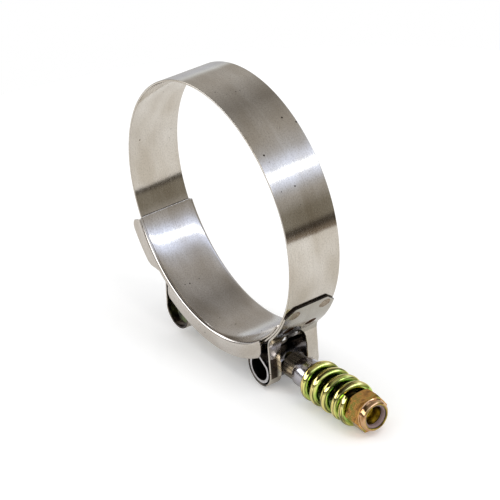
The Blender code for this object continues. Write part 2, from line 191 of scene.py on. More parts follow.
def blended(factor, first, second):
    """The first paint where the factor is 0, turning into the second where it is 1."""
    mix = tree.nodes.new("ShaderNodeMix")
    mix.data_type = "RGBA"
    tree.links.new(factor, mix.inputs["Factor"])
    tree.links.new(first, mix.inputs["A"])
    tree.links.new(second, mix.inputs["B"])
    return mix.outputs["Result"]


lit_walls = blended(facing(WINDOW_SIDE, *WINDOW_SPREAD), painted(BACK_WALL), painted(WINDOW_WALL))
all_walls = blended(facing(LEFT_SIDE, *LEFT_SPREAD), lit_walls, painted(LEFT_WALL))
glow = tree.nodes.new("ShaderNodeEmission")
glow.inputs["Strength"].default_value = ROOM_LEVEL
tree.links.new(all_walls, glow.inputs["Color"])
tree.links.new(glow.outputs["Emission"], tree.nodes["Material Output"].inputs["Surface"])
walls_mesh.materials.append(wall_paint)


# Lamps: a long window high on the right makes the white bar on the band. The tall lamp on the
# left and the soft one overhead only fill in and throw the faint shadow: no metal mirrors them.
LAMP_AIM = Vector((0, 0, 0.04))


def lamp(name, azimuth, elevation, distance, size, watts, colour, mirrored):
    """A flat lamp aimed at the clamp. azimuth turns from +X to +Y."""
    light = bpy.data.lights.new(name, "AREA")
    light.shape = "RECTANGLE"
    light.size, light.size_y = size
    light.energy = watts
    light.color = colour
    lit = bpy.data.objects.new(name, light)
    bpy.context.scene.collection.objects.link(lit)
    a, e = math.radians(azimuth), math.radians(elevation)
    away = Vector((math.cos(e) * math.cos(a), math.cos(e) * math.sin(a), math.sin(e)))
    lit.location = away * distance + LAMP_AIM
    lit.rotation_euler = away.to_track_quat("Z", "Y").to_euler()
    lit.visible_camera = False
    lit.visible_glossy = mirrored


lamp("window", 35, 34, 1.2, (1.0, 0.10), 1.1, (0.86, 0.94, 1.0), True)
lamp("side_window", 222, 26, 1.2, (0.2, 0.6), 1.4, (0.97, 0.98, 1.0), False)
lamp("soft_lamp", 5, 58, 1.3, (0.45, 0.45), 2.6, (1.0, 0.99, 0.98), False)

# Camera: a long lens from the front right, raised about a third of the way from level to overhead
# and tilted a little about its own line of sight.
CAMERA_AIM = Vector((-0.00435, 0, 0.0409))
CAMERA_AZIMUTH = 57.1
CAMERA_ELEVATION = 28.35
CAMERA_ROLL = -5.5
CAMERA_DISTANCE = 0.789
CAMERA_LENS = 180
CAMERA_SENSOR = 36

camera_data = bpy.data.cameras.new("camera")
camera_data.lens = CAMERA_LENS
camera_data.sensor_width = CAMERA_SENSOR
camera = bpy.data.objects.new("camera", camera_data)
bpy.context.scene.collection.objects.link(camera)
bpy.context.scene.camera = camera
a, e = math.radians(CAMERA_AZIMUTH), math.radians(CAMERA_ELEVATION)
back = Vector((math.cos(e) * math.sin(a), -math.cos(e) * math.cos(a), math.sin(e)))
camera.location = CAMERA_AIM + back * CAMERA_DISTANCE
camera.rotation_mode = "QUATERNION"
roll = Quaternion((0, 0, 1), math.radians(CAMERA_ROLL))
camera.rotation_quaternion = (-back).to_track_quat("-Z", "Y") @ roll
bpy.context.scene.view_settings.view_transform = "Standard"


# Band: one strip of bright rolled stainless, 19 mm wide, with its slit edges rounded off. It is
# rolled into a ring, folded round a loop at each end and spot-welded down on its own outside.
# A slot through each loop lets the bolt pass. From here on sizes are in millimetres.
MM = 0.001
RING_CENTRE = Vector((-12.9, 0, 54.1))
STRIP_THICK = 0.7
STRIP_HALF = 9.5
STRIP_EDGE_R = 0.24
RING_R = 43.85
RING_STEPS = 180
FLAP_R = 44.62
LOOP_R = 5.85
LOOP_STEPS = 48
RIGHT_LOOP = Vector((22.0, -47.0))
LEFT_LOOP = Vector((24.5, -45.6))
RIGHT_FOOT_GAP = 2.8
LEFT_FOOT_GAP = 3.6
FOOT_BEND = 2.4
FOOT_STEPS = 8
FLAP_LENGTH = 20.0
FLAP_STEPS = 16
FLAP_CORNER_LENGTH = 3.2
FLAP_CORNER_WIDTH = 3.4
SLOT_HALF = 5.2
SLOT_ARCH = 7.5
SLOT_FLAT_HALF = 0.6
SLOT_BEFORE_LOOP = 3
SLOT_PAST_FOOT = 0.8
ARCH_SHARES = (0, 0.03, 0.09, 0.18, 0.3, 0.45, 0.65, 1)
LEAST_STEP = 0.12


def polar(radius, degrees):
    return Vector((radius * math.cos(math.radians(degrees)), radius * math.sin(math.radians(degrees))))


def loop_line(loop, foot_gap):
    """The strip's middle line from the ring round one loop to the flap's end, on the right side."""
    centre_deg = math.degrees(math.atan2(loop.y, loop.x))
    leave = centre_deg + math.degrees(math.acos((RING_R + LOOP_R) / loop.length))
    line = [polar(RING_R, leave)]
    foot = polar(FLAP_R, leave - foot_gap)
    to_foot = foot - loop
    rise = math.degrees(math.atan2(to_foot.y, to_foot.x) - math.acos(LOOP_R / to_foot.length)) + 360
    for i in range(LOOP_STEPS + 1):
        line.append(loop + polar(LOOP_R, leave + 180 + (rise - leave - 180) * i / LOOP_STEPS))
    slot_from = (line[1] - line[0]).length - SLOT_BEFORE_LOOP
    slot_to = length_of(line) + (foot - line[-1]).length + SLOT_PAST_FOOT
    straight = (foot - line[-1]).normalized()
    bend_deg = math.degrees(FOOT_BEND / FLAP_R)
    onto = polar(FLAP_R, leave - foot_gap + bend_deg)
    start = foot - straight * FOOT_BEND
    for i in range(FOOT_STEPS + 1):
        t = i / FOOT_STEPS
        line.append(start * (1 - t) ** 2 + foot * 2 * t * (1 - t) + onto * t ** 2)
    flap_deg = math.degrees(FLAP_LENGTH / FLAP_R) - bend_deg
    for i in range(1, FLAP_STEPS + 1):
        line.append(polar(FLAP_R, leave - foot_gap + bend_deg + flap_deg * i / FLAP_STEPS))
    return line, slot_from, slot_to, leave


def length_of(line):
    return sum((b - a).length for a, b in zip(line, line[1:]))


def point_at(line, distance):
    for a, b in zip(line, line[1:]):
        step = (b - a).length
        if distance <= step:
            return a.lerp(b, distance / step)
        distance -= step
    return line[-1].copy()


def loop_rows(loop, foot_gap):
    """Rows (x, z, half width, half slot, slot open after it) over one loop and its flap."""
    line, slot_from, slot_to, leave = loop_line(loop, foot_gap)
    total = length_of(line)
    stops = {0.0, total, total - FLAP_CORNER_LENGTH}
    done = 0
    for a, b in zip(line, line[1:]):
        done += (b - a).length
        stops.add(min(done, total))
    for share in ARCH_SHARES:
        stops.add(slot_from + share * SLOT_ARCH)
        stops.add(slot_to - share * SLOT_ARCH)
    rows = []
    last = -1
    for stop in sorted(stops):
        if stop - last < LEAST_STEP:
            continue
        last = stop
        place = point_at(line, stop)
        corner = max(0, stop - total + FLAP_CORNER_LENGTH) / FLAP_CORNER_LENGTH
        inside = max(0, min(stop - slot_from, slot_to - stop))
        short = max(0, 1 - inside / SLOT_ARCH)
        slot = SLOT_FLAT_HALF + (SLOT_HALF - SLOT_FLAT_HALF) * math.sqrt(1 - short ** 2)
        is_open = slot_from - 0.05 <= stop < slot_to - 0.05
        rows.append((place.x, place.y, STRIP_HALF - corner * FLAP_CORNER_WIDTH, slot, is_open))
    return rows, leave


def sheet_object(name, grid, open_patches, thick, edge_r, mat):
    """A bent sheet from a grid of points (or None) in mm from the ring's centre.

    It gets its thickness and rounded edges here, and its UV map holds the length along the sheet
    and the width across it, in metres.
    """
    bm = bmesh.new()
    uv = bm.loops.layers.uv.new("along_across")
    verts = []
    for row in grid:
        placed = [None if p is None else (RING_CENTRE + Vector(p)) * MM for p in row]
        verts.append([None if p is None else bm.verts.new(p) for p in placed])
    lengths = [0.0]
    for a, b in zip(grid, grid[1:]):
        middle = len(a) // 2
        lengths.append(lengths[-1] + (Vector(b[middle]) - Vector(a[middle])).length * MM)
    for i in range(len(verts) - 1):
        for j in range(len(verts[i]) - 1):
            corners = (verts[i][j], verts[i + 1][j], verts[i + 1][j + 1], verts[i][j + 1])
            if None in corners or (i, j) in open_patches:
                continue
            face = bm.faces.new(corners)
            places = ((i, j), (i + 1, j), (i + 1, j + 1), (i, j + 1))
            for loop, (row, column) in zip(face.loops, places):
                y = verts[row][column].co.y
                rise = math.hypot(grid[row][column][0], grid[row][column][2]) * MM
                loop[uv].uv = (lengths[row], y + (rise - 0.043) * math.copysign(1, y))
    mesh = bpy.data.meshes.new(name)
    bm.to_mesh(mesh)
    bm.free()
    mesh.shade_smooth()
    sheet = bpy.data.objects.new(name, mesh)
    bpy.context.scene.collection.objects.link(sheet)
    mesh.materials.append(mat)
    solid = sheet.modifiers.new("thickness", "SOLIDIFY")
    solid.thickness = thick * MM
    solid.offset = 0
    solid.use_even_offset = True
    edge = sheet.modifiers.new("rounded_edges", "BEVEL")
    edge.width = edge_r * MM
    edge.segments = 3
    edge.limit_method = "ANGLE"
    edge.angle_limit = math.radians(50)
    edge.use_clamp_overlap = False
    edge.harden_normals = True
    return sheet


def keep_shape(piece):
    """Turns what the modifiers make into the piece's own mesh."""
    made = bpy.data.meshes.new_from_object(piece.evaluated_get(bpy.context.evaluated_depsgraph_get()))
    piece.modifiers.clear()
    piece.data = made


def rolled_steel(name, colour, roughness):
    """Bright rolled stainless: lines along the strip, brown stains, waviness and clusters of pits."""
    mat = bpy.data.materials.new(name)
    mat.use_nodes = True
    tree = mat.node_tree
    shader = tree.nodes["Principled BSDF"]
    shader.inputs["Metallic"].default_value = 1
    place = tree.nodes.new("ShaderNodeUVMap")
    place.uv_map = "along_across"

    def stretched(along, across, detail):
        mapping = tree.nodes.new("ShaderNodeMapping")
        mapping.inputs["Scale"].default_value = (along, across, 1)
        noise = tree.nodes.new("ShaderNodeTexNoise")
        noise.inputs["Scale"].default_value = 1
        noise.inputs["Detail"].default_value = detail
        tree.links.new(place.outputs["UV"], mapping.inputs["Vector"])
        tree.links.new(mapping.outputs["Vector"], noise.inputs["Vector"])
        return noise.outputs["Fac"]

    def spread(value, low, high, out_low, out_high):
        fit = tree.nodes.new("ShaderNodeMapRange")
        fit.inputs["From Min"].default_value = low
        fit.inputs["From Max"].default_value = high
        fit.inputs["To Min"].default_value = out_low
        fit.inputs["To Max"].default_value = out_high
        tree.links.new(value, fit.inputs["Value"])
        return fit.outputs["Result"]

    def mixed(factor, first, second):
        mix = tree.nodes.new("ShaderNodeMix")
        mix.data_type = "RGBA"
        for socket, value in (("Factor", factor), ("A", first), ("B", second)):
            if hasattr(value, "is_linked"):
                tree.links.new(value, mix.inputs[socket])
            else:
                mix.inputs[socket].default_value = value
        return mix.outputs["Result"]

    lines = stretched(240, 5200, 4)
    streaks = stretched(45, 1000, 4)
    specks = stretched(1700, 2300, 3)
    patches = stretched(45, 95, 4)
    waves = stretched(55, 70, 1)
    stain = (colour[0] * 0.80, colour[1] * 0.765, colour[2] * 0.71, 1)
    clean = (*(min(1, c * 1.05) for c in colour), 1)
    tone = mixed(spread(patches, 0.36, 0.66, 0, 1), stain, clean)
    tone = mixed(spread(streaks, 0.3, 0.7, 0.08, 0), tone, (0.25, 0.22, 0.18, 1))
    tone = mixed(spread(specks, 0.3, 0.55, 0.26, 0), tone, (0.18, 0.15, 0.12, 1))

    pit_place = tree.nodes.new("ShaderNodeMapping")
    pit_place.inputs["Scale"].default_value = (330, 330, 1)
    pits = tree.nodes.new("ShaderNodeTexVoronoi")
    pits.voronoi_dimensions = "2D"
    pits.inputs["Scale"].default_value = 1
    tree.links.new(place.outputs["UV"], pit_place.inputs["Vector"])
    tree.links.new(pit_place.outputs["Vector"], pits.inputs["Vector"])
    rare = tree.nodes.new("ShaderNodeSeparateColor")
    tree.links.new(pits.outputs["Color"], rare.inputs["Color"])
    crowd = tree.nodes.new("ShaderNodeMath")
    crowd.operation = "MULTIPLY"
    tree.links.new(spread(rare.outputs["Red"], 0.62, 1.0, 0.0, 0.11), crowd.inputs[0])
    tree.links.new(spread(stretched(60, 75, 0), 0.55, 0.63, 0, 1), crowd.inputs[1])
    inside = tree.nodes.new("ShaderNodeMath")
    inside.operation = "LESS_THAN"
    tree.links.new(pits.outputs["Distance"], inside.inputs[0])
    tree.links.new(crowd.outputs[0], inside.inputs[1])
    tone = mixed(inside.outputs[0], tone, (0.05, 0.035, 0.025, 1))
    tree.links.new(tone, shader.inputs["Base Color"])

    sheen = spread(streaks, 0.3, 0.68, roughness * 0.9, roughness * 1.2)
    tree.links.new(sheen, shader.inputs["Roughness"])
    wavy = tree.nodes.new("ShaderNodeBump")
    wavy.inputs["Strength"].default_value = 1
    wavy.inputs["Distance"].default_value = 0.00006
    tree.links.new(waves, wavy.inputs["Height"])
    dented = tree.nodes.new("ShaderNodeBump")
    dented.inputs["Strength"].default_value = 1
    dented.inputs["Distance"].default_value = 0.000012
    tree.links.new(stretched(230, 330, 2), dented.inputs["Height"])
    tree.links.new(wavy.outputs["Normal"], dented.inputs["Normal"])
    scored = tree.nodes.new("ShaderNodeBump")
    scored.inputs["Strength"].default_value = 1
    scored.inputs["Distance"].default_value = 0.000002
    tree.links.new(lines, scored.inputs["Height"])
    tree.links.new(dented.outputs["Normal"], scored.inputs["Normal"])
    tree.links.new(scored.outputs["Normal"], shader.inputs["Normal"])
    return mat


right, right_leave = loop_rows(RIGHT_LOOP, RIGHT_FOOT_GAP)
left, left_leave = loop_rows(LEFT_LOOP, LEFT_FOOT_GAP)
left.reverse()
line = [(-x, z, half, slot, False) for x, z, half, slot, _ in left]
open_patches = {(i, 1) for i in range(len(left) - 1) if left[i + 1][4]}
turn = 180 - left_leave - right_leave
for i in range(1, RING_STEPS):
    place = polar(RING_R, 180 - left_leave - turn * i / RING_STEPS)
    line.append((place.x, place.y, STRIP_HALF, SLOT_FLAT_HALF, False))
open_patches |= {(len(line) + i, 1) for i, row in enumerate(right) if row[4]}
line += right
strip_grid = [[(x, y, z) for y in (-half, -slot, slot, half)] for x, z, half, slot, _ in line]
strip_steel = rolled_steel("strip_steel", (0.69, 0.645, 0.58), 0.11)
strip = sheet_object("strip", strip_grid, open_patches, STRIP_THICK, STRIP_EDGE_R, strip_steel)


# The flaps' ends were sheared, not slit, and stay rough; their near-black colour is painted shade.
SHEARED_FROM_R = 44
SHEARED_FROM_Z = -33


def plain_film(name, dark, light, roughness, scale, stretch=(1, 1, 1)):
    """A metal skin in two tones that wander into each other, drawn out where stretch is small."""
    mat = bpy.data.materials.new(name)
    mat.use_nodes = True
    tree = mat.node_tree
    shader = tree.nodes["Principled BSDF"]
    shader.inputs["Metallic"].default_value = 1
    shader.inputs["Roughness"].default_value = roughness
    place = tree.nodes.new("ShaderNodeTexCoord")
    wander = tree.nodes.new("ShaderNodeTexNoise")
    wander.inputs["Scale"].default_value = scale
    wander.inputs["Detail"].default_value = 3
    tone = tree.nodes.new("ShaderNodeMix")
    tone.data_type = "RGBA"
    tone.inputs["A"].default_value = (*dark, 1)
    tone.inputs["B"].default_value = (*light, 1)
    fit = tree.nodes.new("ShaderNodeMapRange")
    fit.inputs["From Min"].default_value = 0.3
    fit.inputs["From Max"].default_value = 0.7
    drawn = tree.nodes.new("ShaderNodeMapping")
    drawn.inputs["Scale"].default_value = stretch
    tree.links.new(place.outputs["Object"], drawn.inputs["Vector"])
    tree.links.new(drawn.outputs["Vector"], wander.inputs["Vector"])
    tree.links.new(wander.outputs["Fac"], fit.inputs["Value"])
    tree.links.new(fit.outputs["Result"], tone.inputs["Factor"])
    tree.links.new(tone.outputs["Result"], shader.inputs["Base Color"])
    return mat


# Near-black painted shade on the flaps' ends, over the bend above each slot and on the bridge's ends.
sheared_and_shaded = plain_film("sheared_ends_painted_shade", (0.015, 0.012, 0.01), (0.07, 0.055, 0.045), 0.5, 1500)
keep_shape(strip)
strip.data.materials.append(sheared_and_shaded)
for face in strip.data.polygons:
    out = (face.center - RING_CENTRE * MM) * 1000
    out.y = 0
    along = Vector((-out.z, 0, out.x)).normalized()
    if out.length > SHEARED_FROM_R and out.z > SHEARED_FROM_Z and abs(face.normal.dot(along)) > 0.4:
        face.material_index = 1

# Inside the loops and round their rims the strip is painted near black as shade, and the bend above
# each slot gets the flaps' near-black painted shade. Down the near leg it is painted dark as a
# reflection, with a painted cream highlight beside the slot. The flaps are a darker tone of steel.
LOOP_REACH = 12.5
RIM_REACH = 6.6
RIM_OUTWARD = 3.2
BEND_RISE = 5.5
LEG_DROP = 1.5
LEG_EDGE = 9.3
SLOT_EDGE = 5
HIGHLIGHT_FROM = 7.0
HIGHLIGHT_TO = 6.0
FLAP_FACE_RISE = 0.2
DARKER_FLAP_FROM_Z = -36.5

# Near-black painted shade inside the loops and round their rims.
painted_loop_shade = plain_film("loop_painted_shade", (0.015, 0.012, 0.010), (0.17, 0.14, 0.115), 0.12, 500)
# A darker tone of the strip's steel for the flaps.
darker_flap_steel = rolled_steel("darker_flaps", (0.50, 0.475, 0.42), 0.17)
# A dark painted reflection down the near leg, with a painted cream highlight beside the slot.
painted_leg_reflection = plain_film("leg_painted_reflection", (0.025, 0.018, 0.014), (0.17, 0.13, 0.10), 0.2, 300, (1, 1, 0.6))
tree = painted_leg_reflection.node_tree
place = tree.nodes.new("ShaderNodeTexCoord")
across = tree.nodes.new("ShaderNodeSeparateXYZ")
rim = tree.nodes.new("ShaderNodeMapRange")
rim.inputs["From Min"].default_value = -HIGHLIGHT_FROM * MM
rim.inputs["From Max"].default_value = -HIGHLIGHT_TO * MM
painted_leg_highlight = tree.nodes.new("ShaderNodeMix")
painted_leg_highlight.data_type = "RGBA"
painted_leg_highlight.inputs["B"].default_value = (1.0, 0.93, 0.80, 1)
skin_colour = tree.nodes["Principled BSDF"].inputs["Base Color"]
tree.links.new(place.outputs["Object"], across.inputs[0])
tree.links.new(across.outputs["Y"], rim.inputs["Value"])
tree.links.new(rim.outputs["Result"], painted_leg_highlight.inputs["Factor"])
tree.links.new(skin_colour.links[0].from_socket, painted_leg_highlight.inputs["A"])
tree.links.new(painted_leg_highlight.outputs["Result"], skin_colour)
for skin in (painted_loop_shade, darker_flap_steel, painted_leg_reflection):
    strip.data.materials.append(skin)
for face in strip.data.polygons:
    for loop, side in ((RIGHT_LOOP, 1), (LEFT_LOOP, -1)):
        inwards = RING_CENTRE + Vector((side * loop.x, 0, loop.y)) - face.center * 1000
        inwards.y = 0
        if inwards.length > LOOP_REACH:
            continue
        over = inwards.length < RIM_REACH and side * inwards.x > -RIM_OUTWARD
        outward = face.normal.x * side
        y = face.center.y
        on_leg = -LEG_EDGE * MM < y < -SLOT_EDGE * MM and -BEND_RISE < inwards.z < LEG_DROP
        if inwards.normalized().dot(face.normal) > 0.25 or (abs(face.normal.y) > 0.4 and over):
            face.material_index = 2
        elif outward > 0.25 and abs(y) < SLOT_EDGE * MM and inwards.z < -BEND_RISE:
            face.material_index = 1
        elif outward > 0.6 and on_leg:
            face.material_index = 4
    out = face.center * 1000 - RING_CENTRE
    out.y = 0
    if face.material_index == 0 and out.length > FLAP_R + FLAP_FACE_RISE and out.z > DARKER_FLAP_FROM_Z:
        face.material_index = 3
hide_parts("band")
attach(strip, "clamp")

# Spot welds: four round marks on each flap, where the electrodes pressed it to the ring and left
# a low burr round each. The heat browned the upper pair and burnt the lower pair dark.
WELD_R = 2.05
WELD_SIDES = 32
WELD_SHORTENING = 0.92
WELD_PROFILE = ((1.0, -0.15), (1.02, 0.0), (0.93, 0.05), (0.84, 0.02), (0.4, 0.03), (0, 0.035))
BURNT_BELOW = 26
WELD_PLACES = ((-29.5, -5.8), (-29.5, 5.8), (-42.8, -4.6), (-42.8, 4.0))

bm = bmesh.new()
for side in (1, -1):
    for degrees, y in WELD_PLACES:
        rings = []
        for share, high in WELD_PROFILE:
            ring = []
            for i in range(1 if share == 0 else WELD_SIDES):
                reach = polar(WELD_R * share, 360 * i / WELD_SIDES)
                radius = FLAP_R + STRIP_THICK / 2 + high
                spot = polar(radius, degrees + math.degrees(reach.x * WELD_SHORTENING / radius))
                from_centre = Vector((side * spot.x, y + reach.y, spot.y))
                ring.append(bm.verts.new((RING_CENTRE + from_centre) * MM))
            rings.append(ring)
        bm.faces.new(rings[0])
        for outer, inner in zip(rings, rings[1:]):
            for i in range(WELD_SIDES):
                j = (i + 1) % WELD_SIDES
                corners = (outer[i], outer[j], inner[j % len(inner)], inner[i % len(inner)])
                bm.faces.new(list(dict.fromkeys(corners)))
bmesh.ops.recalc_face_normals(bm, faces=bm.faces)
weld_mesh = bpy.data.meshes.new("spot_welds")
bm.to_mesh(weld_mesh)
bm.free()
weld_mesh.shade_smooth()
heated = plain_film("heated_steel", (0.16, 0.11, 0.065), (0.42, 0.34, 0.25), 0.33, 1400)
burnt = plain_film("burnt_steel", (0.04, 0.025, 0.015), (0.15, 0.10, 0.065), 0.33, 900)
burnt.node_tree.nodes["Principled BSDF"].inputs["Specular Tint"].default_value = (0.3, 0.25, 0.2, 1)
weld_mesh.materials.append(heated)
weld_mesh.materials.append(burnt)
for face in weld_mesh.polygons:
    if face.center.z < (RING_CENTRE.z - BURNT_BELOW) * MM:
        face.material_index = 1
welds = bpy.data.objects.new("spot_welds", weld_mesh)
bpy.context.scene.collection.objects.link(welds)
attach(welds, "clamp")

# Bridge: a thinner stainless sheet inside the band, so that the hose can't bulge between the
# loops. Both long edges are folded outwards: a tall ear by the left end, a notch, then a flange
# that runs to a slanting cut by the right loop.
SHEET_THICK = 0.6
SHEET_R = 42.9
FOLD_R = 1.0
DISH = ((0.6, 0.0), (0.78, 0.015), (0.9, 0.06), (1.0, 0.14))
SHEET_START = -158.0
SHEET_END = -37.0
SHEET_STEP = 1.4
END_CORNER = 2
END_CORNER_DEG = 2.67
FOLD_BENDS = range(15, 91, 15)
EDGE_HEIGHT = (
    (-157.4, 3.7),
    (-156.4, 4.8),
    (-155.2, 5.4),
    (-153.8, 5.6),
    (-140.0, 5.6),
    (-138.0, 5.0),
    (-135.6, 3.2),
    (-133.4, 1.8),
    (-126.3, 1.8),
    (-125.2, 3.2),
    (-124.2, 4.6),
    (-122.8, 5.3),
    (-60.8, 5.3),
    (-60.2, 5.25),
    (-59.0, 4.88),
    (-57.2, 4.03),
    (-54.8, 1.8),
)


def edge_height(degrees):
    for (start, low), (end, high) in zip(EDGE_HEIGHT, EDGE_HEIGHT[1:]):
        if degrees <= end:
            break
    return low + (high - low) * (degrees - start) / (end - start)


def bridge_row(degrees):
    to_end = math.radians(SHEET_END - degrees) * SHEET_R
    edge = STRIP_HALF - max(0, END_CORNER - to_end)
    side = [(edge * share, SHEET_R + sink) for share, sink in DISH]
    if EDGE_HEIGHT[0][0] <= degrees <= EDGE_HEIGHT[-1][0]:
        for bend in FOLD_BENDS:
            y = STRIP_HALF + FOLD_R * math.sin(math.radians(bend))
            side.append((y, SHEET_R + DISH[-1][1] + FOLD_R * (1 - math.cos(math.radians(bend)))))
        side.append((STRIP_HALF + FOLD_R, SHEET_R + edge_height(degrees)))
    else:
        side += [None] * (len(FOLD_BENDS) + 1)
    middle = [(0, SHEET_R)]
    row = [None if p is None else (-p[0], p[1]) for p in reversed(side)] + middle + side
    placed = []
    for p in row:
        if p is None:
            placed.append(None)
            continue
        place = polar(p[1], degrees)
        placed.append((place.x, p[0], place.y))
    return placed


stops = [SHEET_START, *(degrees for degrees, _ in EDGE_HEIGHT), SHEET_END - END_CORNER_DEG, SHEET_END]
bridge_grid = []
for start, end in zip(stops, stops[1:]):
    steps = math.ceil((end - start) / SHEET_STEP)
    bridge_grid += [bridge_row(start + (end - start) * i / steps) for i in range(steps)]
bridge_grid.append(bridge_row(SHEET_END))
bridge_steel = rolled_steel("bridge_steel", (0.66, 0.62, 0.575), 0.12)
liner = sheet_object("bridge_sheet", bridge_grid, set(), SHEET_THICK, 0.2, bridge_steel)
keep_shape(liner)
# The bridge's end faces get the same near-black painted shade.
liner.data.materials.append(sheared_and_shaded)
for face in liner.data.polygons:
    out = face.center * 1000 - RING_CENTRE
    along = Vector((-out.z, 0, out.x)).normalized()
    if abs(face.normal.dot(along)) > 0.75 and abs(face.center.y) < STRIP_HALF * MM:
        face.material_index = 1
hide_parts("bridge")
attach(liner, "clamp")

# T-bolt: a forging with a solid cross bar and a 1/4-28 rolled thread, yellow zinc plated. The
# bar lies in the left loop and the shank runs through everything else.
BOLT_LINE_Z = 7.1
BAR_X = -36.27
BAR_R = 3.4
BAR_HALF = 8.0
BAR_EASE = 0.5
SHANK_R = 3.175
SHANK_SIDES = 48
BOLT_END_X = 52.3
THREAD_PITCH = 0.907
THREAD_ROOT_R = 2.62
THREAD_FROM_X = -18.35
THREAD_SINK = 0.08
THREAD_STEPS = 24
THREAD_RUN_IN = 20
TRUNNION_X = 9.1
NUT_X = 49.2
SHADED_THREAD_FROM_X = -6.9
BAR_END_X = -31.27


def turned_shell(bm, profile, segments):
    """Adds a closed shell turned round the bolt line from (x, radius) points in mm."""
    rings = []
    for x, radius in profile:
        if radius == 0:
            rings.append([bm.verts.new(Vector((x, 0, BOLT_LINE_Z)) * MM)] * segments)
            continue
        ring = []
        for i in range(segments):
            side = polar(radius, 360 * i / segments)
            ring.append(bm.verts.new(Vector((x, side.x, BOLT_LINE_Z + side.y)) * MM))
        rings.append(ring)
    for first, second in zip(rings, rings[1:] + rings[:1]):
        for i in range(segments):
            j = (i + 1) % segments
            corners = list(dict.fromkeys((first[i], first[j], second[j], second[i])))
            if len(corners) > 2:
                bm.faces.new(corners)


def piece_from(name, bm, mat, smooth_deg=35):
    """Closes a bmesh into a shown object with outward faces and smooth round sides."""
    bmesh.ops.recalc_face_normals(bm, faces=bm.faces)
    mesh = bpy.data.meshes.new(name)
    bm.to_mesh(mesh)
    bm.free()
    mesh.shade_smooth()
    mesh.set_sharp_from_angle(angle=math.radians(smooth_deg))
    piece = bpy.data.objects.new(name, mesh)
    bpy.context.scene.collection.objects.link(piece)
    mesh.materials.append(mat)
    return piece


def plated(name, colours, roughness, patch_size, grain):
    """Zinc plating whose thin colour film drifts between the given tints over the surface."""
    mat = bpy.data.materials.new(name)
    mat.use_nodes = True
    tree = mat.node_tree
    shader = tree.nodes["Principled BSDF"]
    shader.inputs["Metallic"].default_value = 1
    place = tree.nodes.new("ShaderNodeTexCoord")
    drift = tree.nodes.new("ShaderNodeTexNoise")
    drift.inputs["Scale"].default_value = 1 / patch_size
    drift.inputs["Detail"].default_value = 2
    tints = tree.nodes.new("ShaderNodeValToRGB")
    for i, colour in enumerate(colours):
        share = 0.3 + 0.4 * i / (len(colours) - 1)
        stop = tints.color_ramp.elements[i] if i < 2 else tints.color_ramp.elements.new(share)
        stop.position = share
        stop.color = (*colour, 1)
    tree.links.new(place.outputs["Object"], drift.inputs["Vector"])
    tree.links.new(drift.outputs["Fac"], tints.inputs["Fac"])
    tree.links.new(tints.outputs["Color"], shader.inputs["Base Color"])
    dust = tree.nodes.new("ShaderNodeTexNoise")
    dust.inputs["Scale"].default_value = 1 / grain
    dust.inputs["Detail"].default_value = 4
    sheen = tree.nodes.new("ShaderNodeMapRange")
    sheen.inputs["From Min"].default_value = 0.3
    sheen.inputs["From Max"].default_value = 0.7
    sheen.inputs["To Min"].default_value = roughness * 0.75
    sheen.inputs["To Max"].default_value = roughness * 1.3
    tree.links.new(place.outputs["Object"], dust.inputs["Vector"])
    tree.links.new(dust.outputs["Fac"], sheen.inputs["Value"])
    tree.links.new(sheen.outputs["Result"], shader.inputs["Roughness"])
    pebble = tree.nodes.new("ShaderNodeBump")
    pebble.inputs["Distance"].default_value = grain * 0.03
    tree.links.new(dust.outputs["Fac"], pebble.inputs["Height"])
    tree.links.new(pebble.outputs["Normal"], shader.inputs["Normal"])
    return mat


bm = bmesh.new()
turned_shell(bm, [
    (BAR_X, 0), (BAR_X, SHANK_R - 0.05), (THREAD_FROM_X - 0.6, SHANK_R - 0.05),
    (THREAD_FROM_X, THREAD_ROOT_R), (BOLT_END_X - 0.25, THREAD_ROOT_R),
    (BOLT_END_X, THREAD_ROOT_R - 0.3), (BOLT_END_X, 0),
], SHANK_SIDES)
bar_profile = (
    (-BAR_HALF, BAR_R - BAR_EASE), (BAR_EASE - BAR_HALF, BAR_R),
    (BAR_HALF - BAR_EASE, BAR_R), (BAR_HALF, BAR_R - BAR_EASE),
)
bar = []
for y, radius in bar_profile:
    ring = []
    for i in range(SHANK_SIDES):
        side = polar(radius, 360 * i / SHANK_SIDES)
        ring.append(bm.verts.new(Vector((BAR_X + side.x, y, BOLT_LINE_Z + side.y)) * MM))
    bar.append(ring)
for first, second in zip(bar, bar[1:]):
    for i in range(SHANK_SIDES):
        j = (i + 1) % SHANK_SIDES
        bm.faces.new((first[i], first[j], second[j], second[i]))
bm.faces.new(bar[0])
bm.faces.new(bar[-1])
turns = (BOLT_END_X - 0.5 - THREAD_FROM_X) / THREAD_PITCH
steps = round(turns * THREAD_STEPS)
sunk_r = THREAD_ROOT_R - THREAD_SINK
ridge = []
for k in range(steps + 1):
    x = THREAD_FROM_X + turns * THREAD_PITCH * k / steps
    taper = min(1, k / THREAD_RUN_IN, (steps - k) / THREAD_RUN_IN)
    crest_r = THREAD_ROOT_R + (SHANK_R - THREAD_ROOT_R) * taper
    section = ((-0.36, sunk_r), (-0.07, crest_r), (0.07, crest_r), (0.36, sunk_r))
    ring = []
    for along, radius in section:
        side = polar(radius, 360 * turns * k / steps)
        spot = Vector((x + along * THREAD_PITCH, side.x, BOLT_LINE_Z + side.y))
        ring.append(bm.verts.new(spot * MM))
    ridge.append(ring)
for first, second in zip(ridge, ridge[1:]):
    for i in range(4):
        j = (i + 1) % 4
        bm.faces.new((first[i], first[j], second[j], second[i]))
bm.faces.new(ridge[0])
bm.faces.new(ridge[-1])
gold_tints = [(0.62, 0.46, 0.13), (0.70, 0.56, 0.20), (0.52, 0.52, 0.22)]
gold = plated("gold_film", gold_tints, 0.24, 0.004, 0.0002)
bolt = piece_from("bolt_forging", bm, gold)
